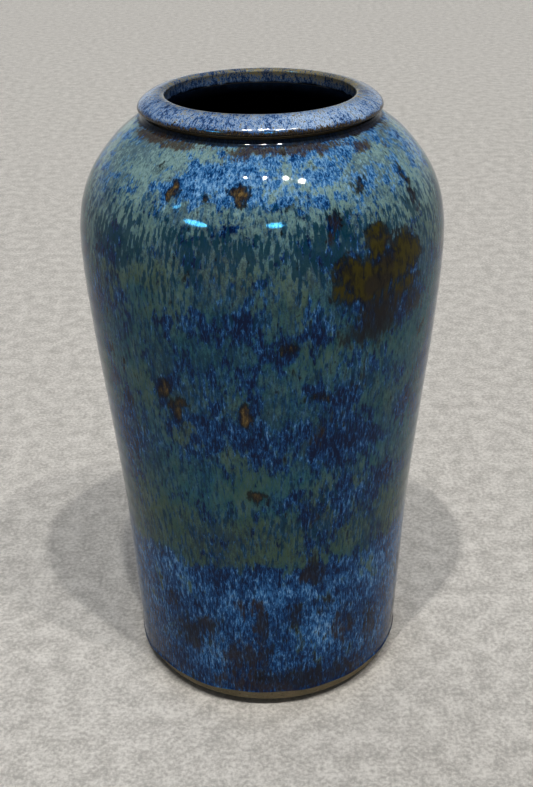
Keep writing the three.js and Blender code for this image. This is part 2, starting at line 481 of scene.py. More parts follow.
SLIT_LEVELS = [
    (8, .20), (72, .24), (78, .46), (98, .46), (125, .38), (180, .38), (196, .46), (204, .60),
    (214, .66), (221, .56), (226, .30), (232, .18), (243, .10),
]
SLIT_FEATURES = [
    (-45, 208, 9, 7, .25), (-20, 212, 12, 5, .15), (2, 212, 8, 5, .15), (14, 211, 6, 8, .15),
    (23, 214, 4, 9, .30), (55, 216, 5, 7, .20), (-30, 195, 7, 6, .15), (-42, 178, 6, 9, .15),
]
PALE_LEVELS = [
    (8, .22), (20, .34), (30, .42), (45, .45), (55, .42), (61, .52), (68, .44), (75, .40),
    (100, .36), (125, .38), (160, .38), (180, .32), (190, .42), (200, .42), (212, .32), (218, .44),
    (225, .78), (231, .95), (241, .85),
]
PALE_FEATURES = [
    (22, 42, 8, 12, .30), (-25, 24, 9, 13, .2), (-12, 52, 5, 10, .2), (4, 62, 12, 6, .15),
    (-18, 197, 20, 5, .15), (-50, 209, 8, 7, -.2), (20, 214, 4, 7, -.15), (50, 22, 8, 14, .2),
    (-25, 184, 8, 5, -.1), (-4, 185, 7, 5, -.2), (15, 183, 6, 6, -.15), (26, 132, 10, 18, -.1),
    (17, 138, 3, 10, -.3), (16, 104, 6, 10, -.2), (-2, 70, 12, 5, -.15), (-35, 66, 8, 6, .1),
    (25, 208, 7, 5, .2), (45, 60, 8, 10, .15), (3, 25, 4, 8, .15), (15, 186, 5, 4, .1),
]
UMBER_LEVELS = [
    (7, .55), (9, .50), (16, .55), (26, .44), (45, .36), (58, .16), (75, -.05), (239.4, -.1),
    (240.6, .1), (241.4, .9), (242.2, 1.5),
]
UMBER_FEATURES = [
    (-7, 56, 6, 5, .55), (-3, 46, 3, 8, .55), (10, 53, 3.5, 8, .55), (-42, 51, 4, 5, .55),
    (-33, 36, 8, 8, .5), (-25, 44, 5, 4, .45), (22, 55, 6, 5, .45), (32, 41, 5, 8, .55),
    (48, 33, 5, 9, .55), (-10, 29, 8, 9, .4), (-1, 32, 3, 9, .3), (17, 77, 4.5, 9, .7),
    (17, 69, 7, 6, .6), (17, 137, 2.5, 9, .6), (-48, 137, 4, 8, .5), (5, 127, 3, 6, .5),
    (-27, 141, 4, 8, .4), (15, 103, 3, 9, .5), (8, 105, 3, 6, .4), (40, 152, 4, 9, .4),
    (28, 88, 5, 9, .5), (12, 14, 26, 6, .45), (20, 217, 1.9, 6, 1.0), (23, 220, 1.6, 5, .8),
    (55, 219, 2.4, 8, .9), (17, 154, 4, 3, .4), (14, 184, 4, 3, .3), (22, 148, 1.8, 12, .5),
    (27, 140, 1.6, 10, .5), (31, 160, 1.5, 10, .45), (12, 138, 1.8, 10, .45),
    (-50, 158, 1.8, 12, .4), (-12, 100, 1.5, 8, .35),
]
BREAK_LEVELS = [(237.4, 0), (239.2, .44), (240.8, .56), (241.4, .3), (242.0, .1)]
BREAK_FEATURES = [
    (12, 240.0, 22, 1.4, .35), (-48, 240.4, 22, 1.6, .5), (-4, 240.0, 10, .9, .2),
    (45, 237.5, 5, 1.6, .8), (57, 237.0, 3, 1.2, .7), (-90, 240, 30, 2, -.3),
    (150, 240, 30, 1.4, .3),
]
IRON_SPOTS = [
    (-30, 228, 2.0, 3.2, .95), (-18, 227, 1.8, 2.4, .85), (-7, 229.4, 3.2, 2.6, 1.1),
    (-6, 226.5, 2.6, 1.6, .9), (9, 225, 1.8, 3.0, .6), (34, 229, 3.2, 2.4, .8),
    (55, 226, 1.6, 4.6, .75), (-40, 234, 2.4, 1.4, .55), (-33, 156, 2.6, 5.0, .95),
    (-28, 147, 3.0, 6.0, .85), (-6, 148, 2.6, 5.6, 1), (7, 176, 2.6, 3.0, .8),
    (-22, 203, 1.2, 4.4, .6), (17, 155, 3.4, 2.4, .75), (28, 156, 1.2, 3.6, .6),
    (-3, 111, 3.6, 3.2, .85), (-57, 163, 2.0, 1.6, .7), (23, 219, 0.9, 2.6, .6), (-3, 18, 3, 3, .5),
    (-50, 145, 1.6, 6, .5), (73, 197, 2.4, 2.0, .8), (58, 170, 1.4, 3, .6),
]
PATCH_LOBES = [
    (35, 211, 4.5, 6, 1), (46, 203, 6.5, 8, 1), (26, 201, 5.5, 7, 1), (36, 199, 9, 7, 1),
    (30, 194, 8, 5, .9), (46, 192, 6, 3, .8), (36, 187, 9, 7, .70), (34, 179, 11, 7, .56),
    (50, 184, 7, 5, .48),
]
DUSK_FEATURES = [
    (39, 205, 3.5, 7, .9), (35, 196, 6, 4, .8), (36, 185, 16, 6, 1.1), (34, 176, 16, 8, 1.4),
    (50, 183, 9, 7, 1.2),
]
BREAK_START = 233  # the ovals of broken brown stay above this height

# The far side has the same kinds of ovals, each kind from its own seed.
FAR_POOLS = scattered(11, 16, (60, 225), 9, 9, .3)
FAR_GAPS = scattered(12, 14, (90, 215), 6, 9, -.5)
FAR_PALE = scattered(13, 14, (12, 200), 8, 11, .2)
FAR_DARK = scattered(14, 12, (12, 215), 7, 9, -.25)
FAR_UMBER = scattered(15, 22, (12, 62), 5, 7, .5)
FAR_SPLASHES = scattered(16, 9, (90, 200), 3, 8, .6)
FAR_IRON = scattered(17, 20, (90, 232), 2.2, 3.0, .8)


def wander(points, height):
    """How far the glazes' edges stray up and down at each point: less near the neck."""
    drift = 2.4 * waves(points, 10, 3) + 1.2 * waves(points, 3.5, 5)
    drift += 4.0 * waves(points * (1, 1, 0.12), 2.6, 4) + 3.0 * waves(points * (1, 1, 0.15), 7, 6)
    return drift * fading(height, DRIFT_END, 0.12)


def glaze_fields(points, azimuth, height):
    """How much of each glaze there is at each point."""
    drift = wander(points, height)
    side = azimuth + (2.0 * waves(points, 8, 7) + 1.0 * waves(points, 3, 9))
    up = height + drift
    calm = height + 0.5 * drift
    film = level(up, FILM_LEVELS) + ovals(side, up, FILM_FEATURES + FAR_POOLS)
    pale = level(up, PALE_LEVELS) + ovals(side, up, PALE_FEATURES + FAR_PALE)
    umber = level(calm, UMBER_LEVELS) + ovals(side, calm, UMBER_FEATURES + FAR_UMBER)
    olive = level(up, OLIVE_LEVELS) + ovals(side, up, OLIVE_FEATURES)
    slit = level(calm, SLIT_LEVELS) + ovals(side, calm, SLIT_FEATURES)
    broken = level(up, BREAK_LEVELS) * (1 + 0.8 * waves(points, 12, 17))
    near_neck = height > BREAK_START
    return {
        "film": film + ovals(side, up, FAR_GAPS),
        "olive": olive + 0.35 * waves(points, 22, 13),
        "pale": pale + ovals(side, up, FAR_DARK),
        "umber": umber + ovals(side, calm, FAR_SPLASHES),
        "frost": level(up, FROST_LEVELS),
        "slit": slit + 0.15 * waves(points, 15, 19),
        "broken": broken + ovals(side, up, BREAK_FEATURES) * near_neck,
        "iron": strongest(side, calm, IRON_SPOTS + FAR_IRON),
        "patch": strongest(side, calm, PATCH_LOBES),
        "dusk": strongest(side, calm, DUSK_FEATURES),
    }


# The rim's colours, by the share of the way from the groove round to inside the lip,
# and then the arcs of the rim where there is more of them.
RIM_PALE_LEVELS = [(0, .1), (.2, .3), (.3, .56), (.5, .58), (.7, .50), (.85, .40), (1, .25)]
RIM_TAN_LEVELS = [(0, 0), (.50, .10), (.64, .34), (.74, .56), (.82, .50), (.90, .10), (1, -.1)]
RIM_BROWN_LEVELS = [(0, .9), (.12, .9), (.19, .8), (.25, .45), (.31, 0)]
# Painted shade: the rim's coat turns near-black where it runs into the groove under the roll and down
# inside the lip.
RIM_PAINTED_SHADE_LEVELS = [(0, .6), (.06, .5), (.12, 0), (.90, 0), (.96, .4), (1, .8)]
RIM_PALE_ARCS = [(34, 30, .32)]
RIM_TAN_ARCS = [(125, 40, .25), (180, 25, .15)]
# Painted shade inside: the liner is near-black deep in the neck and lifts to blue towards the lip.
LINER_SHADE_LIFT = [(236, -0.2), (242, 0.2), (245, 0.9)]  # where the liner turns bluer, by height


def rim_fields(share, azimuth):
    """How much of each colour there is at each point of the rim's glaze."""
    inner_half = share > 0.5
    return {
        "pale": level(share, RIM_PALE_LEVELS) + arcs(azimuth, RIM_PALE_ARCS),
        "tan": level(share, RIM_TAN_LEVELS) + arcs(azimuth, RIM_TAN_ARCS) * inner_half,
        "brown": level(share, RIM_BROWN_LEVELS),
        # painted shade at both ends of the rim's coat
        "dark": level(share, RIM_PAINTED_SHADE_LEVELS),
    }


# ---------------------------------------------------------------- materials


class Look:
    """A material, with short calls that add its nodes. A value is a number, a colour or a socket."""

    def __init__(self, name, roughness=0.5, ior=1.5):
        self.material = bpy.data.materials.new(name)
        self.material.use_nodes = True
        self.tree = self.material.node_tree
        self.shader = self.tree.nodes["Principled BSDF"]
        self.shader.inputs["Roughness"].default_value = roughness
        self.shader.inputs["IOR"].default_value = ior
        self.noises = {}

    def plug(self, socket, value):
        """Links or sets a socket."""
        if isinstance(value, bpy.types.NodeSocket):
            self.tree.links.new(value, socket)
        elif isinstance(value, tuple) and len(value) == 3 and socket.type == "RGBA":
            socket.default_value = (*value, 1)
        else:
            socket.default_value = value

    def field(self, name, vector=False):
        """An attribute of the mesh."""
        node = self.tree.nodes.new("ShaderNodeAttribute")
        node.attribute_name = name
        return node.outputs["Vector" if vector else "Fac"]

    def calc(self, operation, a, b=0.0, c=0.0):
        """A sum worked out by a Math node."""
        node = self.tree.nodes.new("ShaderNodeMath")
        node.operation = operation
        for socket, value in zip(node.inputs, (a, b, c)):
            self.plug(socket, value)
        return node.outputs[0]

    def weigh(self, start, **weights):
        """start, or the field of that name, with each noise less one half added by its weight."""
        total = self.field(start) if isinstance(start, str) else start
        for name, weight in weights.items():
            centred = self.calc("SUBTRACT", self.noises[name], 0.5)
            total = self.calc("MULTIPLY_ADD", centred, weight, total)
        return total

    def step(self, value, low, high):
        """A smooth step from 0 at low to 1 at high. low may be the greater of the two."""
        node = self.tree.nodes.new("ShaderNodeMapRange")
        node.interpolation_type = "SMOOTHSTEP"
        self.plug(node.inputs["Value"], value)
        node.inputs["From Min"].default_value = low
        node.inputs["From Max"].default_value = high
        return node.outputs["Result"]

    def mix(self, factor, first, second):
        """The first colour at a factor of 0 and the second at 1."""
        node = self.tree.nodes.new("ShaderNodeMix")
        node.data_type = "RGBA"
        for socket, value in ((0, factor), (6, first), (7, second)):  # 6 and 7 are its colours
            self.plug(node.inputs[socket], value)
        return node.outputs[2]

    def paint(self, under, over, value, low, high, most=1.0):
        """Lays a colour over another as a value goes from low to high, and at most that thickly."""
        factor = self.step(value, low, high)
        if most < 1.0:
            factor = self.calc("MULTIPLY", factor, most)
        return self.mix(factor, under, over)

    def scaled(self, vector, factors):
        """A vector with each of its numbers multiplied."""
        node = self.tree.nodes.new("ShaderNodeVectorMath")
        node.operation = "MULTIPLY"
        self.plug(node.inputs[0], vector)
        node.inputs[1].default_value = factors
        return node.outputs[0]

    def millimetres(self):
        """Where a point lies on its object, in millimetres."""
        place = self.tree.nodes.new("ShaderNodeTexCoord").outputs["Object"]
        return self.scaled(place, (1 / MM, 1 / MM, 1 / MM))

    def noise(self, vector, size, detail=2.0, roughness=0.5, distortion=0.0, squeeze=1.0):
        """Noise with features about that many millimetres across, drawn out upwards if squeezed."""
        if squeeze < 1.0:
            vector = self.scaled(vector, (1, 1, squeeze))
        node = self.tree.nodes.new("ShaderNodeTexNoise")
        self.plug(node.inputs["Vector"], vector)
        node.inputs["Scale"].default_value = 1.0 / size
        node.inputs["Detail"].default_value = detail
        node.inputs["Roughness"].default_value = roughness
        node.inputs["Distortion"].default_value = distortion
        return node.outputs["Fac"]

    def finish(self, colour, roughness, relief, distance):
        """Sets the colour, the roughness, and a bump that many millimetres high for a relief of 1."""
        self.plug(self.shader.inputs["Base Color"], colour)
        self.plug(self.shader.inputs["Roughness"], roughness)
        node = self.tree.nodes.new("ShaderNodeBump")
        node.inputs["Distance"].default_value = distance * MM
        self.plug(node.inputs["Height"], relief)
        self.plug(self.shader.inputs["Normal"], node.outputs["Normal"])
        return self.material


NAVY = (0.002, 0.013, 0.055)
BLUE = (0.005, 0.048, 0.150)
SKY = (0.045, 0.170, 0.370)
ICE = (0.240, 0.430, 0.650)
DEEP = (0.001, 0.042, 0.072)
TEAL = (0.022, 0.114, 0.132)
OLIVE = (0.070, 0.116, 0.068)
FROST = (0.235, 0.345, 0.320)
UMBER = (0.030, 0.019, 0.018)
RUST = (0.050, 0.030, 0.014)
AMBER = (0.135, 0.094, 0.034)
OCHRE_AND_GLINT = (0.270, 0.200, 0.095)
BROKEN = (0.088, 0.058, 0.036)
NEAR_BLACK = (0.003, 0.004, 0.008)
SHADE = (0.010, 0.011, 0.019)
DUSKY = (0.012, 0.060, 0.165)
MOSS = (0.054, 0.046, 0.004)
MAUVE = (0.030, 0.024, 0.014)
SMOKE = (0.013, 0.014, 0.020)

# The streaky noises of the outer glaze: size, detail, roughness, distortion and upright squeeze.
STREAKS = {
    "hair": (1.4, 2.0, 0.5, 0.3, 0.18),
    "fibre": (0.9, 3.0, 0.65, 0.3, 0.30),
    "thread": (1.2, 3.0, 0.6, 0.4, 0.26),
    "fleck": (2.6, 3.0, 0.6, 0.4, 0.40),
    "slit": (1.3, 2.0, 0.5, 0.2, 0.17),
    "blotch": (8.0, 3.0, 0.6, 0.3, 0.6),
}


def streaks(look, flow):
    """The noises that every layer of the glaze shares, from hair-fine to broad."""
    noises = {name: look.noise(flow, *numbers) for name, numbers in STREAKS.items()}
    away = look.calc("ABSOLUTE", look.calc("SUBTRACT", noises["hair"], 0.5))
    noises["hair"] = look.step(away, 0.04, 0.0)
    noises["cloud"] = look.noise(flow, 26.0)
    noises["grain"] = look.noise(flow, 0.6, roughness=0.6)
    return noises


def blue_layer(look):
    """Navy under paler blue fibres."""
    milk = look.weigh("pale", fibre=2.3, fleck=1.2, blotch=1.3, grain=0.4)
    milk = look.calc("MULTIPLY_ADD", look.noises["hair"], 0.52, milk)
    colour = look.paint(NAVY, BLUE, milk, 0.10, 0.44)
    colour = look.paint(colour, SKY, milk, 0.44, 0.88)
    return look.paint(colour, ICE, milk, 0.85, 1.32)


def film_slits(look, colour):
    """Returns the colour with dark slits cut in it, and how open the slits are."""
    gash = look.step(look.weigh("slit", slit=3.0, thread=1.2, blotch=0.8), 0.56, 0.84)
    depth = look.calc("MULTIPLY", look.field("slit"), 1.4)
    return look.mix(look.calc("MULTIPLY", gash, depth), colour, DEEP), gash


def film_layer(look, colour):
    """Returns the colour under a film of olive or teal cut by slits, and how far the film covers."""
    colour, gash = film_slits(look, colour)
    cover = look.weigh("film", fleck=1.0, blotch=2.3, thread=1.4, cloud=1.1)
    whole = look.calc("SUBTRACT", 1.0, look.calc("MULTIPLY", gash, 0.85))
    cover = look.calc("MULTIPLY", look.step(cover, 0.34, 0.66), whole)
    hue = look.weigh("olive", cloud=0.9, blotch=0.9, fleck=0.6)
    skin = look.paint(TEAL, OLIVE, hue, 0.20, 0.95)
    skin = look.mix(look.weigh("frost", blotch=0.5, fleck=0.3), skin, FROST)
    shade = look.weigh(0.5, grain=0.8, cloud=1.3, fibre=1.2, fleck=0.9)
    skin = look.paint(skin, look.mix(0.55, skin, NAVY), shade, 0.75, 0.20)
    return look.mix(look.calc("MULTIPLY", cover, 0.9), colour, skin), cover


def umber_layer(look, colour):
    """Brown-black streaks where the glaze is thin, still crossed by a few blue hairs."""
    bare = look.weigh("umber", blotch=1.1, thread=1.4, fleck=1.2, slit=0.8)
    dark = look.paint(UMBER, SHADE, look.noises["cloud"], 0.4, 0.6)
    colour = look.paint(colour, dark, bare, 0.42, 0.95, most=0.90)
    return look.mix(look.calc("MULTIPLY", look.noises["hair"], 0.34), colour, DUSKY)


def break_layer(look, colour):
    """The ragged band of broken brown round the neck."""
    bare = look.weigh("broken", fleck=1.2, thread=1.4, grain=1.0)
    brown = look.paint(UMBER, BROKEN, look.weigh(0.5, grain=2.0, thread=1.5), 0.2, 0.9)
    return look.paint(colour, brown, bare, 0.38, 0.85, most=0.85)


def iron_layer(look, colour):
    """Rusty spots with a ragged dark ring."""
    rust = look.weigh("iron", thread=1.1, fleck=1.5, grain=0.5)
    colour = look.paint(colour, NEAR_BLACK, rust, 0.30, 0.70, most=0.85)
    core = look.paint(RUST, AMBER, look.weigh(0.45, fibre=2.0, fleck=1.5), 0.1, 1.0)
    # The strongest spot's core turns ochre: partly its own colour, partly a painted glint.
    core = look.paint(core, OCHRE_AND_GLINT, rust, 1.0, 1.6)
    return look.paint(colour, core, rust, 0.58, 1.25)


def patch_layer(look, colour):
    """The big olive-brown pool on the shoulder, with its dark ragged outline and smoky tail."""
    pool = look.weigh("patch", fleck=1.3, thread=1.0, blotch=0.9)
    dusk = look.weigh("dusk", blotch=1.2, fleck=0.8)
    tint = look.paint(MOSS, MAUVE, dusk, 0.30, 0.80)
    tint = look.paint(tint, SMOKE, dusk, 0.95, 1.35)
    worn = look.weigh(0.5, fleck=1.6, thread=1.3, blotch=0.8)
    tint = look.paint(tint, look.mix(0.85, tint, NEAR_BLACK), worn, 0.75, 0.15)
    halo = look.paint(NEAR_BLACK, SMOKE, dusk, 0.6, 1.1)
    colour = look.paint(colour, halo, pool, 0.22, 0.50, most=0.80)
    return look.paint(colour, tint, pool, 0.46, 0.86)


def glaze_look():
    """Blue glaze with pale fibres, a film broken into streaks, umber blotches and iron spots."""
    look = Look("streaked_blue_glaze", ior=1.33)
    look.noises = streaks(look, look.field("flow", vector=True))
    colour, look.noises["cover"] = film_layer(look, blue_layer(look))
    for layer in (umber_layer, break_layer, iron_layer, patch_layer):
        colour = layer(look, colour)
    roughness = look.weigh(0.05, fleck=0.05)
    return look.finish(colour, roughness, look.weigh(0.0, cover=0.25, blotch=1.2, fleck=0.3), 0.015)


RIM_DEEP = (0.018, 0.046, 0.125)
RIM_BLUE = (0.090, 0.185, 0.370)
RIM_ICE = (0.400, 0.520, 0.700)
RIM_GREY = (0.170, 0.190, 0.190)
RIM_TAN = (0.250, 0.215, 0.120)
RIM_BROWN = (0.022, 0.016, 0.010)
RIM_GOLD = (0.170, 0.115, 0.045)


def rim_look():
    """Finely mottled pale-blue glaze, tan at the inner lip, brown-black under the edge, and near-black
    painted shade at the groove and inside the lip.
    """
    look = Look("broken_rim_glaze", ior=1.45)
    flow = look.field("flow", vector=True)
    look.noises = {
        "speck": look.noise(flow, 0.55, roughness=0.6),
        "fibre": look.noise(flow, 1.1, 3.0, 0.6, 0.3, squeeze=0.6),
        "fleck": look.noise(flow, 2.2),
        "blotch": look.noise(flow, 9.0),
    }
    milk = look.weigh("pale", speck=2.0, fibre=2.0, fleck=1.6, blotch=1.5)
    colour = look.paint(RIM_DEEP, RIM_BLUE, milk, 0.05, 0.50)
    colour = look.paint(colour, RIM_ICE, milk, 0.40, 1.00)
    rub = look.weigh("tan", speck=2.8, fibre=2.2, fleck=1.4, blotch=1.2)
    colour = look.paint(colour, RIM_GREY, rub, 0.25, 0.70)
    colour = look.paint(colour, RIM_TAN, rub, 0.55, 1.00)
    edge = look.weigh("brown", fibre=1.3, fleck=0.9, speck=0.6)
    gold = look.paint(RIM_BROWN, RIM_GOLD, look.weigh(0.3, speck=2.4), 0.35, 0.75)
    colour = look.paint(colour, gold, edge, 0.40, 0.65)
    # Painted shade: near-black at the groove end and at the inner end of the rim's coat.
    colour = look.paint(colour, NEAR_BLACK, look.field("dark"), 0.3, 0.7)
    roughness = look.weigh(0.10, fleck=0.12, fibre=0.12)
    return look.finish(colour, roughness, look.weigh(0.0, fibre=0.6, fleck=1.0), 0.03)


# The inside's colours: near-black painted shade, lifting to a little blue at the lip.
LINER_SHADE_BLACK = (0.003, 0.004, 0.007)
LINER_NAVY = (0.004, 0.007, 0.014)
LINER_LIP = (0.006, 0.014, 0.034)


def liner_look():
    """Near-black inside as painted shade, turning bluer up towards the lip, where the painted shade
    lifts.
    """
    look = Look("dark_liner_glaze", ior=1.45)
    flow = look.field("flow", vector=True)
    blotch = look.noise(flow, 14.0)
    look.noises = {"drip": look.noise(flow, 2.5, 3.0, 0.6, squeeze=0.3), "blotch": blotch}
    colour = look.paint(LINER_SHADE_BLACK, LINER_NAVY, blotch, 0.35, 0.7)
    # Painted shade lifts towards the lip.
    colour = look.paint(colour, LINER_LIP, look.weigh("lip", drip=0.8, blotch=0.6), 0.3, 0.9)
    return look.finish(colour, look.weigh(0.22, drip=0.2), look.weigh(0.0, drip=0.5, blotch=1.5), 0.08)


CLAY_DARK = (0.180, 0.145, 0.082)
CLAY_PALE = (0.255, 0.205, 0.125)
GROG_DARK = (0.080, 0.056, 0.034)
GROG_PALE = (0.380, 0.320, 0.230)


def clay_look():
    """Bare fired stoneware: warm tan with dark and pale grog."""
    look = Look("bare_stoneware", ior=1.4)
    place = look.millimetres()
    grog = look.noise(place, 0.7, roughness=0.6)
    pits = look.step(look.noise(place, 1.6, 1.0), 0.36, 0.30)
    look.noises = {"grog": grog, "pits": pits}
    colour = look.paint(CLAY_DARK, CLAY_PALE, look.noise(place, 14.0, 3.0), 0.3, 0.7)
    colour = look.paint(colour, GROG_DARK, grog, 0.62, 0.72)
    colour = look.paint(colour, GROG_PALE, grog, 0.36, 0.28)
    return look.finish(colour, look.weigh(0.8, grog=0.3), look.weigh(0.0, grog=1.0, pits=-1.2), 0.12)


# ---------------------------------------------------------------- pieces


def finish_piece(piece, material, node):
    """Gives a piece its material, hangs it on the root body and hides the CAD node that it stands for.
    """
    piece.data.materials.append(material)
    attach(piece, "root")
    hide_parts(node)


def glaze_end(angles):
    """How far above its line the outer glaze stops, all round."""
    end = 0.35 * np.sin(3 * angles + 1.0) + 0.25 * np.sin(7 * angles + 2.0)
    end += 0.2 * np.sin(17 * angles)
    return end + arcs(np.degrees(angles), GLAZE_RUNS)


def drop_edge(piece, ends, count):
    """Raises or lowers the coat's lower edge at each angle, fading out up the wall."""
    co = points_of(piece).reshape(-1, count, 3)
    above = (co[:, :, 2] / MM - GLAZE_LINE) / EDGE_REACH
    co[:, :, 2] += ends[:, None] * np.clip(1 - above, 0, 1) ** 2 * MM
    piece.data.vertices.foreach_set("co", co.ravel())
    piece.data.update()


def outer_depth(flow, height, fields):
    """How far the outer coat is pressed in: by rings, lumps, pits and the crease, less its pools."""
    lumps = 0.06 * waves(flow, 40, 21) + 0.012 * waves(flow, 12, 23)
    rings = RING_DEPTH * np.sin(height * 2 * math.pi / RING_PITCH + 1.5 * waves(flow, 40, 25))
    rings *= fading(height, RING_END, 0.1)
    crease = CREASE_DEPTH * np.exp(-(((height - CREASE_HEIGHT) / CREASE_HALF) ** 2))
    thick = 0.03 * np.clip(fields["film"], 0, 1) + 0.10 * np.clip(fields["patch"] * 2, 0, 1)
    pits = 0.05 * np.clip(fields["iron"] * 1.6, 0, 1)
    return OUTER_SINK + lumps + rings - thick + pits + crease


def outer_glaze(material):
    """The streaked coat, rounded at its lower edge, with the ripples of the throwing."""
    edge = rounded_corner(*inset(0, 0), GLAZE_CORNER)
    wall = even(stretch(SKIN, FACE_START, CREASE_START, steps=400), step=1.25)
    groove = even(stretch(SKIN, CREASE_START, GROOVE_TOP), step=0.35)
    face = np.concatenate([edge, wall[:-1], groove])
    back = even(stretch(OUTER_GLAZE, BACK_START, BACK_END), step=12)[::-1]
    angles = turns(COAT_SEGMENTS)
    streak_run = run_of(face, growth=level(face[1:, 1], SHORTENING))
    flow = flow_points(angles, streak_run)
    height = np.tile(face[:, 1], COAT_SEGMENTS)
    azimuth = np.repeat(np.degrees(angles), len(face))
    fields = glaze_fields(flow, azimuth, height)
    relief = face_relief(outer_depth(flow, height, fields), first=len(edge), last=2)
    piece = lathe("outer_glaze_coat", [face, back], COAT_SEGMENTS, relief)
    drop_edge(piece, glaze_end(angles), len(face) + len(back))
    store(piece, {**fields, "flow": flow}, COAT_SEGMENTS, len(back))
    finish_piece(piece, material, "outer_glaze")


def rim_glaze(material):
    """The rim's own thin coat, from the groove round the roll to inside the lip."""
    bore = NECK_BORE - GAP - LINER_GLAZE
    lip = [(bore, LIP_START), (bore, LIP_END)]
    under = [(bore + RIM_GLAZE, LIP_END)] + roll_arc(RIM_GLAZE)[::-1] + [RIM_GROOVE_BACK]
    face = even(RIM_GROOVE + roll_arc(SKIN) + lip, step=0.42)
    back = even(under, step=2.5)
    angles = turns(RIM_SEGMENTS)
    run = run_of(face)
    flow = flow_points(angles, run)
    lumps = 0.05 * waves(flow, 18, 31) + 0.03 * waves(flow, 5, 33)
    relief = face_relief(RIM_SINK + lumps, first=2, last=1)
    piece = lathe("rim_glaze_coat", [face, back], RIM_SEGMENTS, relief)
    azimuth = np.repeat(np.degrees(angles), len(face))
    share = (np.tile(run, RIM_SEGMENTS) + 0.5 * waves(flow, 7, 35)) / run[-1]
    store(piece, {**rim_fields(share, azimuth), "flow": flow}, RIM_SEGMENTS, len(back))
    finish_piece(piece, material, "rim_glaze")


def liner_glaze(material):
    """The dark coat inside, rippled by the potter's fingers."""
    depth = GAP + LINER_GLAZE
    floor_height = FLOOR_TOP + depth
    wall = stretch(CLAY_BACK + depth, floor_height + LINER_COVE, NECK_BEND_START, steps=120)
    cove_centre = (wall[0].x - LINER_COVE, floor_height + LINER_COVE)
    cove = [
        (cove_centre[0] + LINER_COVE * math.sin(a), cove_centre[1] - LINER_COVE * math.cos(a))
        for a in np.linspace(0, math.pi / 2, 9)
    ]
    curve = neck_bend(depth)
    bend = [curve(i / BEND_STEPS) for i in range(BEND_STEPS + 1)]
    rise = [(0.0, floor_height), *cove, *wall[1:], *bend[1:], (NECK_BORE - depth, LINER_END)]
    face = even(rise, step=2.0)[::-1]
    under = inside(GAP, FLOOR_TOP + GAP, NECK_BEND_END)
    back = even([(0.0, FLOOR_TOP + GAP), *under, (NECK_BORE - GAP, LINER_END)], step=8)

    def relief(angles, section):
        ripple = RIPPLE_DEPTH * spiral(angles, section, RIPPLE_PITCH) + LINER_SINK
        on_face = np.arange(len(section)) >= len(back)
        return ripple * (on_face & (section[:, 0] > RIPPLE_FREE) & (section[:, 1] < NECK_JOINT))

    piece = lathe("liner_glaze_coat", [back, face], LINER_SEGMENTS, relief)
    flow = points_of(piece) / MM
    attribute(piece, "flow", flow)
    # How far the painted shade inside has lifted, by height.
    attribute(piece, "lip", level(flow[:, 2], LINER_SHADE_LIFT))
    finish_piece(piece, material, "liner_glaze")


def foot_ring(material):
    """The turned ring it stands on, worn round at its corners."""
    outer = rounded_corner(FOOT_RING_OUTER, 0, FOOT_CORNER)
    inner = rounded_corner(FOOT_RING_INNER, 0, FOOT_CORNER, side=-1)[::-1]
    under = even([inner[-1], outer[0]], step=0.5)
    top = [(FOOT_RING_OUTER, FOOT_RING_TOP), (FOOT_RING_INNER, FOOT_RING_TOP)]
    section = [under, outer[1:], top, inner[:-1]]
    marks = turned_marks(depth=0.06, pitch=1.3)
    piece = lathe("foot_ring_clay", section, CLAY_SEGMENTS, marks)
    finish_piece(piece, material, "foot_ring")


def base_floor(material):
    """The floor, with a spiral of turning marks underneath and the bare band round its edge."""
    edge = inset(0, CLAY_FACE).x
    upper = FLOOR_TOP - GAP
    turned = rounded_corner(BARE_BAND_RADIUS, FLOOR_UNDER, BAND_CORNER)
    under = even([(0, FLOOR_UNDER), turned[0]], step=0.8)
    band = even(turned[1:] + [(edge, GLAZE_LINE), (edge, upper)], step=0.6)
    top = even([(edge - 1, upper), (0, upper)], step=6)
    marks = turned_marks(depth=0.12, pitch=3.2)
    piece = lathe("base_floor_clay", [under, band, top], CLAY_SEGMENTS, marks)
    finish_piece(piece, material, "base_floor")


def clay_stretch(name, start, end, material, node):
    """One thrown stretch of the wall between two heights, under the glazes."""
    face = even(stretch(CLAY_FACE, start, end), step=3)
    back = even(inside(0, start, end), step=3)[::-1]
    piece = lathe(name, [face, back], CLAY_SEGMENTS)
    finish_piece(piece, material, node)


def rim_roll(material):
    """The clay of the neck and of its rolled lip."""
    start = NECK_JOINT + GAP
    groove = inset(1, CLAY_FACE + GROOVE_TUCK)
    face = even([*stretch(CLAY_FACE, start, groove.y), groove], step=1)
    roll = even(roll_arc(RIM_GLAZE + GAP, ROLL_CLAY_UNDER), step=1)
    bore = inside(0, start, NECK_BEND_END)[::-1]
    back = even([(NECK_BORE, LIP_CLAY_END), *bore], step=1.5)
    piece = lathe("rim_roll_clay", [face, roll, back], CLAY_SEGMENTS)
    finish_piece(piece, material, "rim_roll")


# ---------------------------------------------------------------- stage

CAMERA_BACK = 426.9
CAMERA_UP = 346.7
CAMERA_PITCH = math.radians(27.75)
CAMERA_YAW = math.radians(0.09)
CAMERA_ROLL = math.radians(-0.87)
LENS = 52.02
SENSOR = 36.0
GAMMA = 0.8
EXPOSURE = 0.15

FLOOR_RADIUS = 30.0
FLOOR_SEGMENTS = 96
STONE_DARK = (0.370, 0.362, 0.345)
STONE_PALE = (0.610, 0.600, 0.575)

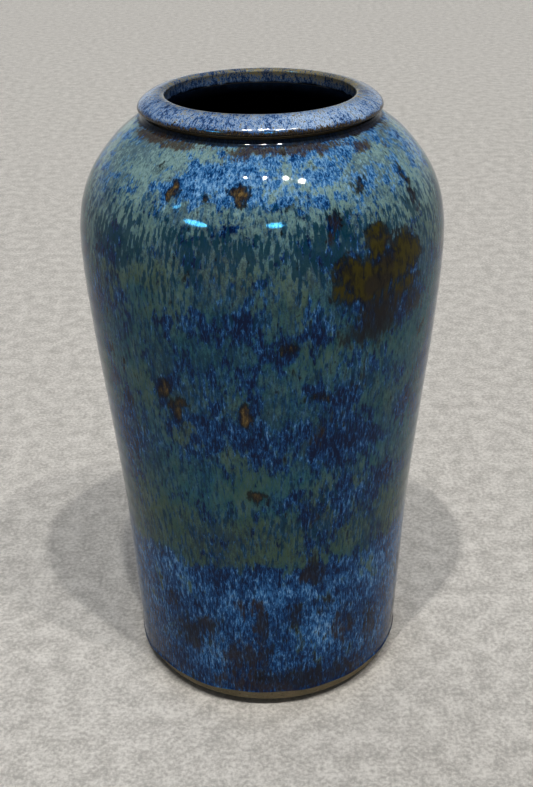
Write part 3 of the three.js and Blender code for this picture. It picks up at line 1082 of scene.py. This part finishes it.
# Ceiling lamps in a row, as how far each leans to the right and its strength. Widths are in degrees.
LAMPS = [(-0.157, 0.92), (0.030, 0.80), (0.224, 0.80), (0.390, 0.46)]
LAMP_FRONT = -0.36
LAMP_WIDTH = 1.5
LAMP_COLOUR = (1.0, 0.96, 0.91)
FILL_TOWARD = (-0.35, 0.75, 0.60)
FILL_STRENGTH = 0.45
FILL_WIDTH = 40
FILL_COLOUR = (0.95, 0.97, 1.0)

# Blue panes, as the direction, the width in metres and the power of each.
PANES = {
    "pane_left": ((-0.616, -0.592, 0.497), 0.40, 6.0),
    "pane_middle": ((0.132, -0.804, 0.560), 0.24, 4.0),
    "pane_side": ((-0.740, -0.310, 0.630), 0.07, 0.5),
}
PANE_HEIGHT = 0.12
PANE_DISTANCE = 1.5
PANE_COLOUR = (0.12, 0.60, 1.0)
PANES_FROM = (0, -60, 220)  # the spot by the shoulder that they are set out from, in millimetres

# The sky's colours, at how far up they hold: 0 is the horizon and 1 straight up.
SKY_LOW = (0.08, (0.68, 0.69, 0.68, 1))
SKY_HIGH = (0.35, (0.15, 0.16, 0.18, 1))


def view_settings():
    """How the light is turned into the picture's colours."""
    settings = bpy.context.scene.view_settings
    settings.view_transform = "Standard"
    settings.gamma = GAMMA
    settings.exposure = EXPOSURE


def camera():
    """Looks down at the front of the vase from about two of its heights away."""
    data = bpy.data.cameras.new("camera")
    data.lens = LENS
    data.sensor_width = SENSOR
    view = bpy.data.objects.new("camera", data)
    bpy.context.scene.collection.objects.link(view)
    turn = (
        Matrix.Rotation(-CAMERA_YAW, 4, "Z")
        @ Matrix.Rotation(math.pi / 2 - CAMERA_PITCH, 4, "X")
        @ Matrix.Rotation(CAMERA_ROLL, 4, "Z")
    )
    view.matrix_world = Matrix.Translation((0, -CAMERA_BACK * MM, CAMERA_UP * MM)) @ turn
    bpy.context.scene.camera = view


def floor_look():
    """Pale stone with a faint mottle."""
    look = Look("pale_floor", roughness=0.45)
    place = look.millimetres()
    look.noises = {
        "speckle": look.noise(place, 1.8, 5.0, 0.7),
        "cloud": look.noise(place, 9.0, 3.0),
    }
    mottle = look.weigh(0.5, speckle=2.0, cloud=0.9)
    look.plug(look.shader.inputs["Base Color"], look.paint(STONE_DARK, STONE_PALE, mottle, 0.1, 0.9))
    return look.material


def floor():
    """A wide round floor."""
    work = bmesh.new()
    bmesh.ops.create_circle(work, cap_ends=True, segments=FLOOR_SEGMENTS, radius=FLOOR_RADIUS)
    mesh = bpy.data.meshes.new("floor")
    work.to_mesh(mesh)
    work.free()
    piece = bpy.data.objects.new("floor", mesh)
    bpy.context.scene.collection.objects.link(piece)
    mesh.materials.append(floor_look())


def aim(light, toward):
    """Links a light to the scene, and turns it to shine from the direction given."""
    bpy.context.scene.collection.objects.link(light)
    light.rotation_euler = Vector(toward).to_track_quat("Z", "Y").to_euler()


def sun(name, toward, strength, width, colour):
    """A distant lamp seen as a disc that many degrees wide."""
    data = bpy.data.lights.new(name, "SUN")
    data.energy = strength
    data.angle = math.radians(width)
    data.color = colour
    light = bpy.data.objects.new(name, data)
    aim(light, toward)
    return light


def pane(name, toward, width, power):
    """A blue pane that only shows in the gloss, because it gives no diffuse light."""
    data = bpy.data.lights.new(name, "AREA")
    data.shape = "ELLIPSE"
    data.size = width
    data.size_y = PANE_HEIGHT
    data.energy = power
    data.color = PANE_COLOUR
    light = bpy.data.objects.new(name, data)
    aim(light, toward)
    light.location = Vector([c * MM for c in PANES_FROM]) + Vector(toward) * PANE_DISTANCE
    light.visible_diffuse = False


def lights():
    """A row of small ceiling lamps, a soft one behind, three dim panes in front, and a sky."""
    for i, (right, strength) in enumerate(LAMPS):
        sun(f"bulb_{i}", (right, LAMP_FRONT, 1.0), strength, LAMP_WIDTH, LAMP_COLOUR)
    fill = sun("fill", FILL_TOWARD, FILL_STRENGTH, FILL_WIDTH, FILL_COLOUR)
    fill.visible_glossy = False
    for name, numbers in PANES.items():
        pane(name, *numbers)
    sky()


def sky():
    """Pale at the horizon and dimmer overhead."""
    world = bpy.data.worlds.new("sky")
    world.use_nodes = True
    tree = world.node_tree
    back = tree.nodes["Background"]
    back.inputs["Strength"].default_value = 1.0
    direction = tree.nodes.new("ShaderNodeTexCoord").outputs["Generated"]
    split = tree.nodes.new("ShaderNodeSeparateXYZ")
    tree.links.new(direction, split.inputs[0])
    ramp = tree.nodes.new("ShaderNodeValToRGB")
    tree.links.new(split.outputs["Z"], ramp.inputs[0])
    for stop, (position, colour) in zip(ramp.color_ramp.elements, (SKY_LOW, SKY_HIGH)):
        stop.position = position
        stop.color = colour
    tree.links.new(ramp.outputs["Color"], back.inputs["Color"])
    bpy.context.scene.world = world


def build():
    """Makes every piece of the vase."""
    clay = clay_look()
    outer_glaze(glaze_look())
    rim_glaze(rim_look())
    liner_glaze(liner_look())
    foot_ring(clay)
    base_floor(clay)
    clay_stretch("body_wall_clay", FLOOR_TOP, BELLY_JOINT, clay, "body_wall")
    clay_stretch("shoulder_clay", BELLY_JOINT + GAP, SHOULDER_JOINT, clay, "shoulder")
    clay_stretch("neck_clay", SHOULDER_JOINT + GAP, NECK_JOINT, clay, "neck")
    rim_roll(clay)


view_settings()
camera()
floor()
lights()
build()
